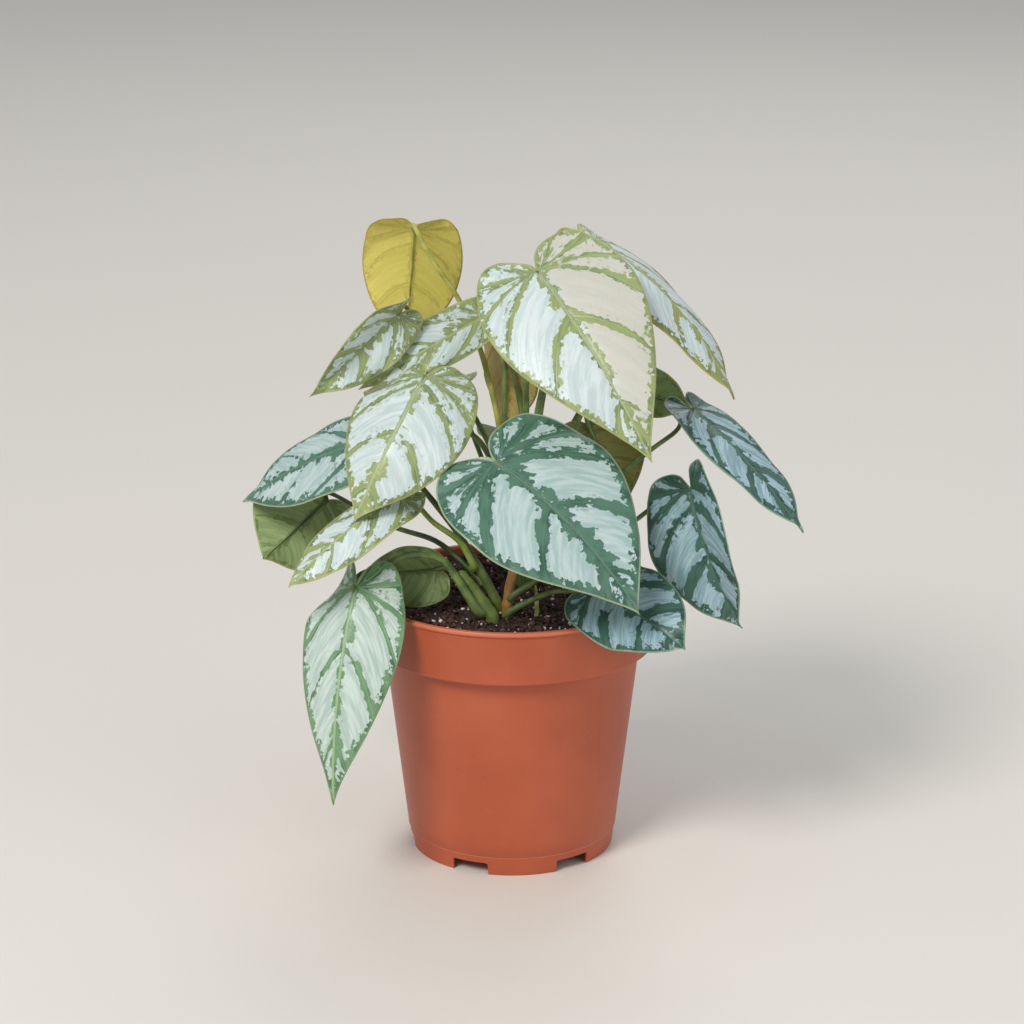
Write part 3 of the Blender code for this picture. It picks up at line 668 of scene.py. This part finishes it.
def make_blade(leaf, seed, materials):
    rows = np.linspace(0, 1, BLADE_ROWS + 1)
    columns = np.linspace(-1, 1, BLADE_COLUMNS + 1)
    along, across = (grid.ravel() for grid in np.meshgrid(rows, columns, indexing="ij"))
    x, y = flat_blade(along, across, leaf.belly)
    points, _, _, _, length = midrib(leaf)
    half = leaf.width / 2
    flat = np.stack([x * length, y * half], -1)

    step = 0.004
    ahead_x, ahead_y = flat_blade(np.minimum(along + step, 1), across, leaf.belly)
    back_x, back_y = flat_blade(np.maximum(along - step, 0), across, leaf.belly)
    moved = np.stack([(ahead_x - back_x) * length, (ahead_y - back_y) * half], -1)
    spread = np.linalg.norm(moved, axis=-1) / (2 * step * SIDE_VEINS)
    phase = along * SIDE_VEINS
    to_vein = np.abs(phase - np.round(phase)) * spread
    edges = []
    for turn in (1, -1):
        edge_x, edge_y = flat_blade(rows, np.full(len(rows), float(turn)), leaf.belly)
        edges.append(np.stack([edge_x * length, edge_y * half], -1))
    to_margin = nearest(flat, np.concatenate([edges[0], edges[1][::-1]]))
    to_rib = nearest(flat, np.array([[0.0, 0.0], [length, 0.0]]))

    rise = -RIB_GROOVE * np.exp(-((to_rib / RIB_WIDTH) ** 2))
    bulge = np.clip(to_vein / (spread * 0.5 + 0.01), 0, 1)
    rise += QUILTING * np.sin(bulge * np.pi / 2) * np.clip(spread / 8, 0, 1)
    out = np.abs(across)
    turns = RIPPLES * (along + 0.09 * np.sign(across)) + seed * 0.37
    rise += MARGIN_WAVE * out**3 * np.sin(2 * np.pi * turns)

    faces = []
    wide = BLADE_COLUMNS + 1
    for row in range(BLADE_ROWS):
        for column in range(BLADE_COLUMNS):
            corner = row * wide + column
            faces.append((corner, corner + wide, corner + wide + 1, corner + 1))
    blade = mesh_object("blade_" + leaf.name, world(bent_blade(leaf, x, y, rise)), faces, materials)
    mesh = blade.data
    attribute(mesh, "flat", np.stack([flat[:, 0], flat[:, 1], np.full(len(x), seed * 11.7)], -1))
    run = np.hypot(flat[:, 0] - flat_blade(along, 0 * across, leaf.belly)[0] * length, flat[:, 1])
    attribute(mesh, "vein", np.stack([phase, run, to_vein], -1))
    attribute(mesh, "edge", np.stack([to_margin, to_rib, np.sign(across)], -1))
    thick = blade.vertex_groups.new(name="thick")
    for index, inside in enumerate(np.clip(to_margin / 2.5, 0, 1)):
        thick.add([index], float(inside), "REPLACE")

    bm = bmesh.new()
    bm.from_mesh(mesh)
    bmesh.ops.remove_doubles(bm, verts=bm.verts, dist=MERGE)
    bm.to_mesh(mesh)
    bm.free()
    mesh.shade_smooth()
    shell = blade.modifiers.new("thickness", "SOLIDIFY")
    shell.thickness = BLADE_THICKNESS
    shell.offset = 0
    shell.vertex_group = "thick"
    shell.thickness_vertex_group = MARGIN_THICKNESS
    shell.material_offset = 1
    return blade


# Stems and leaf stalks


def run_lengths(points):
    """How far along the line each of its points is."""
    return np.concatenate([[0], np.cumsum(np.linalg.norm(np.diff(points, axis=0), axis=-1))])


def tube(name, points, radii, materials, seed, sides=12):
    """A closed round tube through points in mm, with a radius in mm at each."""
    points = np.asarray(points, float)
    ahead = np.gradient(points, axis=0)
    ahead /= np.linalg.norm(ahead, axis=-1)[:, None]
    runs = run_lengths(points)
    across = unit(np.cross(ahead[0], [0.3, 0.2, 1.0]))
    angles = np.arange(sides) * math.tau / sides
    rings = []
    grain = []
    for point, forward, radius, run in zip(points, ahead, radii, runs):
        across = unit(across - forward * (across @ forward))
        up = np.cross(forward, across)
        for angle in angles:
            rings.append(point + (across * math.cos(angle) + up * math.sin(angle)) * radius)
            grain.append((run, min(angle, math.tau - angle), seed))
    faces = []
    for ring in range(len(points) - 1):
        for turn in range(sides):
            here = ring * sides + turn
            beside = ring * sides + (turn + 1) % sides
            faces.append((here, beside, beside + sides, here + sides))
    last = (len(points) - 1) * sides
    faces.append(tuple(range(sides))[::-1])
    faces.append(tuple(range(last, last + sides)))
    made = mesh_object(name, world(rings), faces, materials)
    attribute(made.data, "grain", grain)
    made.data.shade_smooth()
    return made


def rounded(radii, lengths, start=True, end=True):
    """Radii that close a tube in a half ball at its ends. lengths are along the tube."""
    shares = np.ones(len(radii))
    if start:
        shares *= np.sqrt(np.clip(1 - (1 - np.clip(lengths / radii, 0, 1)) ** 2, 0.0025, 1))
    if end:
        left = np.clip((lengths[-1] - lengths) / radii, 0, 1)
        shares *= np.sqrt(np.clip(1 - (1 - left) ** 2, 0.0025, 1))
    return radii * shares


def stem_place(stem, height):
    """The middle of a stem and its radius, at a height above the soil in mm."""
    shares = np.linspace(0, 1, STEM_READINGS)
    line = spline(stem.points, shares)
    share = np.interp(height, line[:, 2], shares)
    middle = spline(stem.points, np.array([share]))[0]
    return middle, stem.foot + (stem.head - stem.foot) * share


def end_eased(count):
    """Places from 0 to 1 that crowd toward 1."""
    return np.sin(np.linspace(0, 1, count) * np.pi / 2)


def make_stem(stem, seed, material):
    shares = end_eased(STEM_RINGS)
    points = spline(stem.points, shares)
    radii = stem.foot + (stem.head - stem.foot) * shares
    lengths = run_lengths(points)
    radii = radii * (1 + 0.05 * np.sin(lengths * 0.9 + seed) + 0.03 * np.sin(lengths * 2.3))
    if stem.name == "young_shoot":
        radii = rounded(radii, lengths, start=False)
    else:
        radii = rounded(radii, lengths)
    return tube("fine_" + stem.name, points, radii, [material], seed, 20)


def make_stalk(leaf, stem, seed, material):
    """The stalk leaves the stem, and runs on as the rib under the blade."""
    middle, stem_radius = stem_place(stem, leaf.height)
    side = math.radians(leaf.side)
    outward = np.array([math.cos(side), math.sin(side), 0])
    start = middle + outward * (stem_radius + leaf.stalk)
    inside = middle + outward * stem_radius * 0.4 - np.array([0, 0, STALK_ROOT])

    points, ahead, _, normal, length = midrib(leaf)
    behind, below = leaf.approach
    tip_radius = leaf.stalk * STALK_TIP
    end = points[0] - normal[0] * (BLADE_THICKNESS / MM / 2 + tip_radius * 0.8)
    before_end = end - ahead[0] * behind * 0.8 - normal[0] * below * 0.8
    stalk = spline([inside, start, *leaf.via, before_end, end], np.linspace(0, 1, STALK_RINGS))
    lengths = run_lengths(stalk)
    share = lengths / lengths[-1]
    radii = leaf.stalk + (tip_radius - leaf.stalk) * share
    radii = radii * (1 + 0.55 * np.exp(-lengths / 5) + 0.25 * np.exp(-((lengths[-1] - lengths) / 2.2) ** 2))

    reach = np.linspace(0, 1, RIB_RINGS + 1)[1:] * RIB_REACH
    shares = np.linspace(0, 1, MIDRIB_STEPS + 1)
    rib = np.stack([np.interp(reach, shares, points[:, axis]) for axis in range(3)], -1)
    below_rib = np.stack([np.interp(reach, shares, normal[:, axis]) for axis in range(3)], -1)
    rib_radii = RIB_RADIUS + (RIB_END_RADIUS - RIB_RADIUS) * reach
    rib_radii[0] = (tip_radius + RIB_RADIUS) / 2
    drop = np.where(rib_radii > 0.3, BLADE_THICKNESS / MM / 2 + rib_radii * 0.35, 0.25) + RIB_GROOVE * 0.5
    rib = rib - below_rib * drop[:, None]
    joined = np.concatenate([stalk, rib])
    joined_radii = np.concatenate([radii, rib_radii])
    return tube("fine_stalk_" + leaf.name, joined, joined_radii, [material], seed)


# Pot and soil


def make_pot(material):
    """The pot: a turned wall with a lip, a collar and a ledge, notches in its foot and holes."""
    top = POT_HEIGHT
    ledge = top - COLLAR_HEIGHT
    collar = RIM_RADIUS - LIP
    collar_foot = collar - 1.0 * MM
    lean = (SHOULDER_RADIUS - BASE_RADIUS) / ledge
    small = 0.35 * MM
    profile = []

    def body(height):
        return BASE_RADIUS + lean * height

    def corner(x, z, turn_from, turn_to, radius, count=5):
        for step in range(count + 1):
            angle = math.radians(turn_from + (turn_to - turn_from) * step / count)
            profile.append((x + radius * math.cos(angle), z + radius * math.sin(angle)))

    corner(RIM_RADIUS - 0.6 * MM, top - 0.6 * MM, 90, 0, 0.6 * MM, 8)
    corner(RIM_RADIUS - 0.45 * MM, top - 1.35 * MM, 0, -80, 0.45 * MM, 6)
    profile.append((collar + 0.05 * MM, top - 2.1 * MM))
    profile.append((collar, top - 2.6 * MM))
    for step in range(1, 7):
        share = step / 7
        height = top - 2.6 * MM + (ledge + 3.2 * MM - top) * share
        profile.append((collar + (collar_foot - collar) * share, height))
    corner(collar_foot - 0.7 * MM, ledge + 0.7 * MM, 0, -90, 0.7 * MM, 8)
    profile.append((SHOULDER_RADIUS + 1.2 * MM, ledge))
    corner(SHOULDER_RADIUS + 0.55 * MM, ledge - 0.5 * MM, 90, 180, 0.5 * MM, 5)
    for step in range(1, 15):
        height = ledge - 1.2 * MM + (7.7 * MM - ledge + 1.2 * MM) * step / 15
        profile.append((body(height), height))
    profile.append((body(7.6 * MM) + 0.05 * MM, 7.6 * MM))
    profile.append((body(7.2 * MM) - 0.3 * MM, 7.1 * MM))
    profile.append((body(6.6 * MM) - 0.3 * MM, 6.6 * MM))
    for height in (5.2, 3.4, 1.6):
        profile.append((body(height * MM) - 0.3 * MM, height * MM))
    corner(BASE_RADIUS - 0.3 * MM - small, small, 0, -90, small, 4)
    profile.append((BASE_RADIUS - WALL, 0))
    profile.append((BASE_RADIUS - WALL, 3.6 * MM))
    profile.append((0, 3.6 * MM))
    profile.append((0, 5.0 * MM))
    profile.append((body(5 * MM) - WALL, 5.0 * MM))
    profile.append((SHOULDER_RADIUS - WALL, ledge + WALL))
    profile.append((collar_foot - WALL, ledge + WALL))
    profile.append((collar - WALL - 0.1 * MM, top - 1.0 * MM))
    corner(collar - WALL + 0.35 * MM, top - 0.4 * MM, 180, 90, 0.4 * MM, 5)

    bm = bmesh.new()
    ring = [bm.verts.new((radius, 0, height)) for radius, height in profile]
    edges = [bm.edges.new(pair) for pair in zip(ring, ring[1:] + ring[:1])]
    bmesh.ops.spin(
        bm, geom=ring + edges, cent=(0, 0, 0), axis=(0, 0, 1), angle=math.tau,
        steps=TURN_STEPS, use_merge=True,
    )
    bmesh.ops.remove_doubles(bm, verts=bm.verts, dist=MERGE)
    bmesh.ops.recalc_face_normals(bm, faces=bm.faces)
    mesh = bpy.data.meshes.new("pot_shell")
    bm.to_mesh(mesh)
    bm.free()
    mesh.materials.append(material)
    pot = bpy.data.objects.new("pot_shell", mesh)
    bpy.context.scene.collection.objects.link(pot)

    block = bmesh.new()
    bmesh.ops.create_cube(block, size=1)
    bmesh.ops.scale(block, vec=NOTCH, verts=block.verts)
    inward = [edge for edge in block.edges if abs(edge.verts[0].co.x - edge.verts[1].co.x) > MM]
    bmesh.ops.bevel(block, geom=inward, offset=0.8 * MM, segments=4, profile=0.5, affect="EDGES")
    bmesh.ops.translate(block, vec=(BASE_RADIUS, 0, 0), verts=block.verts)
    notch = bpy.data.meshes.new("foot_notch")
    block.to_mesh(notch)
    block.free()
    bm = bmesh.new()
    for index in range(NOTCHES):
        bm.from_mesh(notch)
        bm.verts.ensure_lookup_table()
        turn = Matrix.Rotation(math.radians(FIRST_NOTCH) + math.tau * index / NOTCHES, 3, "Z")
        added = bm.verts[-len(notch.vertices):]
        bmesh.ops.rotate(bm, cent=(0, 0, 0), matrix=turn, verts=added)
    for index in range(HOLES):
        turn = Matrix.Rotation(math.tau * index / HOLES, 4, "Z")
        bmesh.ops.create_cone(
            bm, cap_ends=True, segments=24, radius1=HOLE_RADIUS, radius2=HOLE_RADIUS, depth=4 * MM,
            matrix=turn @ Matrix.Translation((HOLE_CIRCLE, 0, 4.3 * MM)),
        )
    bpy.data.meshes.remove(notch)
    tool_mesh = bpy.data.meshes.new("pot_openings")
    bm.to_mesh(tool_mesh)
    bm.free()
    tool = bpy.data.objects.new("pot_openings", tool_mesh)
    bpy.context.scene.collection.objects.link(tool)
    cut = pot.modifiers.new("openings", "BOOLEAN")
    cut.operation = "DIFFERENCE"
    cut.solver = "EXACT"
    cut.object = tool
    graph = bpy.context.evaluated_depsgraph_get()
    final = bpy.data.meshes.new_from_object(pot.evaluated_get(graph))
    pot.modifiers.clear()
    pot.data = final
    bpy.data.objects.remove(tool)
    bpy.data.meshes.remove(tool_mesh)
    final.shade_smooth()
    final.set_sharp_from_angle(angle=math.radians(40))
    return pot


def soil_height(x, y):
    """The soil's surface at a place, in metres above its level at the wall."""
    radius = math.hypot(x, y) / SOIL_RADIUS
    crown = SOIL_CROWN * (1 - radius * radius)
    lumps = noise.fractal(Vector((x * 110, y * 110, 4.0)), 1.0, 2.0, 4) * 1.1 * MM
    return crown + lumps * 0.8 - 0.4 * MM


def make_soil(material):
    rings, turns = SOIL_RINGS, SOIL_TURNS
    bottom = SOIL_LEVEL - SOIL_SKIRT
    points = [(0, 0, SOIL_LEVEL + soil_height(0, 0))]
    for ring in range(1, rings + 1):
        radius = SOIL_RADIUS * ring / rings
        for turn in range(turns):
            angle = math.tau * turn / turns
            x, y = radius * math.cos(angle), radius * math.sin(angle)
            points.append((x, y, SOIL_LEVEL + soil_height(x, y)))
    low = len(points)
    for turn in range(turns):
        angle = math.tau * turn / turns
        points.append((SOIL_RADIUS * math.cos(angle), SOIL_RADIUS * math.sin(angle), bottom))
    points.append((0, 0, bottom))
    faces = [(0, 1 + turn, 1 + (turn + 1) % turns) for turn in range(turns)]
    for ring in range(rings):
        first = 1 + ring * turns
        for turn in range(turns):
            beside = (turn + 1) % turns
            if ring < rings - 1:
                faces.append((first + turn, first + turns + turn, first + turns + beside, first + beside))
            else:
                faces.append((first + turn, low + turn, low + beside, first + beside))
    faces += [(len(points) - 1, low + (turn + 1) % turns, low + turn) for turn in range(turns)]
    soil = mesh_object("soil_surface", points, faces, [material])
    soil.data.shade_smooth()
    return soil


def scatter(name, count, low, high, flatten, lift, seed, material, subdivisions):
    """Small lumps that lie on the soil: sizes from low to high mm, each of its own shape."""
    draw = np.random.default_rng(seed)
    bm = bmesh.new()
    bmesh.ops.create_icosphere(bm, subdivisions=subdivisions, radius=0.5)
    shape = np.array([vert.co for vert in bm.verts])
    bm.verts.index_update()
    corners = np.array([[vert.index for vert in face.verts] for face in bm.faces])
    bm.free()
    points = []
    faces = []
    for _ in range(count):
        radius = SOIL_RADIUS * 0.985 * math.sqrt(draw.random())
        angle = draw.random() * math.tau
        x, y = radius * math.cos(angle), radius * math.sin(angle)
        size = low * (high / low) ** (draw.random() ** 1.8)
        stretch = np.array([1, draw.uniform(0.45, 0.9), draw.uniform(*flatten)]) * size * MM
        lumpy = shape * (1 + 0.35 * (draw.random((len(shape), 1)) - 0.5)) * stretch
        turn = np.array(
            Matrix.Rotation(draw.random() * math.tau, 3, "Z")
            @ Matrix.Rotation(draw.normal(0, 0.5), 3, "X")
            @ Matrix.Rotation(draw.normal(0, 0.5), 3, "Y")
        )
        height = SOIL_LEVEL + soil_height(x, y) + size * lift * MM
        first = len(shape) * len(points)
        points.append(lumpy @ turn.T + np.array([x, y, height]))
        faces.extend((corners + first).tolist())
    return mesh_object(name, np.concatenate(points), faces, [material])


# Floor, light and camera


def make_stage():
    bm = bmesh.new()
    bmesh.ops.create_grid(bm, x_segments=1, y_segments=1, size=12)
    mesh = bpy.data.meshes.new("floor")
    bm.to_mesh(mesh)
    bm.free()
    floor = bpy.data.objects.new("floor", mesh)
    bpy.context.scene.collection.objects.link(floor)
    shader = Shader("floor")
    soft = shader.noise(shader.place(), 3, 2)
    colour = shader.mix(soft, srgb(221, 217, 208), srgb(225, 221, 212))
    mesh.materials.append(shader.finish(colour, 0.6))

    background = bpy.data.worlds.new("studio")
    bpy.context.scene.world = background
    background.use_nodes = True
    sky = background.node_tree.nodes["Background"].inputs
    sky["Color"].default_value = (0.93, 0.95, 1.0, 1)
    sky["Strength"].default_value = 0.48
    for name, place, size, power, colour in LIGHTS:
        data = bpy.data.lights.new(name, "AREA")
        data.shape = "DISK"
        data.size = size
        data.energy = power
        data.color = colour
        lamp = bpy.data.objects.new(name, data)
        bpy.context.scene.collection.objects.link(lamp)
        lamp.location = place
        lamp.rotation_euler = (Vector((0, 0, 0.12)) - lamp.location).to_track_quat("-Z", "Y").to_euler()


def make_camera():
    data = bpy.data.cameras.new("camera")
    data.sensor_width = 36
    data.lens = CAMERA_FOCAL / 1024 * 36
    data.clip_end = 50
    camera = bpy.data.objects.new("camera", data)
    bpy.context.scene.collection.objects.link(camera)
    pitch = math.radians(CAMERA_PITCH)
    forward = Vector((0, math.cos(pitch), -math.sin(pitch)))
    camera.location = Vector((0, 0, CAMERA_AIM)) - forward * CAMERA_DISTANCE
    camera.rotation_euler = forward.to_track_quat("-Z", "Y").to_euler()
    bpy.context.scene.camera = camera


def main():
    bpy.context.scene.view_settings.view_transform = "Standard"
    make_camera()
    make_stage()
    keep(make_pot(pot_material()), "pot_plastic", "pot")
    mix = soil_material("soil", srgb(30, 20, 20), srgb(66, 44, 40), 0.95)
    keep(make_soil(mix), "potting_mix", "potting_soil")
    bark = soil_material("bark", srgb(38, 26, 24), srgb(98, 66, 56), 0.9)
    white = soil_material("perlite", srgb(214, 204, 192), srgb(246, 242, 236), 0.9)
    keep(scatter("bark_bits", 3600, 0.7, 3.6, (0.3, 0.7), 0.25, 5, bark, 1), "potting_mix")
    keep(scatter("perlite", 420, 0.45, 1.8, (0.6, 0.95), 0.3, 9, white, 2), "potting_mix")

    green = stalk_material("stem_green", srgb(72, 92, 42), srgb(112, 130, 62), srgb(118, 108, 56))
    stalk = stalk_material("stalk", srgb(74, 98, 50), srgb(118, 138, 74), srgb(104, 106, 58))
    brown = stalk_material("stem_brown", srgb(146, 104, 50), srgb(178, 140, 76), srgb(150, 92, 42))
    gold = stalk_material("stalk_gold", srgb(150, 154, 66), srgb(196, 192, 102), srgb(120, 126, 60))
    lime = stalk_material("stalk_lime", srgb(112, 134, 52), srgb(150, 166, 74), srgb(110, 116, 58))
    dark = stalk_material("stalk_dark", srgb(54, 74, 40), srgb(84, 102, 56), srgb(80, 90, 50))
    stalks = {"yellow": gold, "lower_left": lime, "far_left": dark, "left_underside": dark}
    young = stalk_material("young_shoot", srgb(150, 168, 84), srgb(190, 196, 120), srgb(150, 130, 80))
    stems = {stem.name: stem for stem in STEMS}
    for seed, stem in enumerate(STEMS):
        special = {"stem_right": (brown, "stem_brown"), "young_shoot": (young, "leaf_yellow")}
        look, slot = special.get(stem.name, (green, "stem_green"))
        keep(make_stem(stem, seed, look), slot, stem.name)

    made = {}
    for seed, leaf in enumerate(LEAVES):
        *pair, slot = LOOKS.get(leaf.name, PLAIN)
        for look in pair:
            if id(look) not in made:
                made[id(look)] = leaf_material(f"leaf_{len(made)}", look)
        materials = [made[id(look)] for look in pair]
        keep(make_blade(leaf, seed + 1, materials), slot, "leaf_" + leaf.name)
        skin = stalks.get(leaf.name, stalk)
        keep(make_stalk(leaf, stems[leaf.stem], seed, skin), "leaf_stalk", "stalk_" + leaf.name)


main()
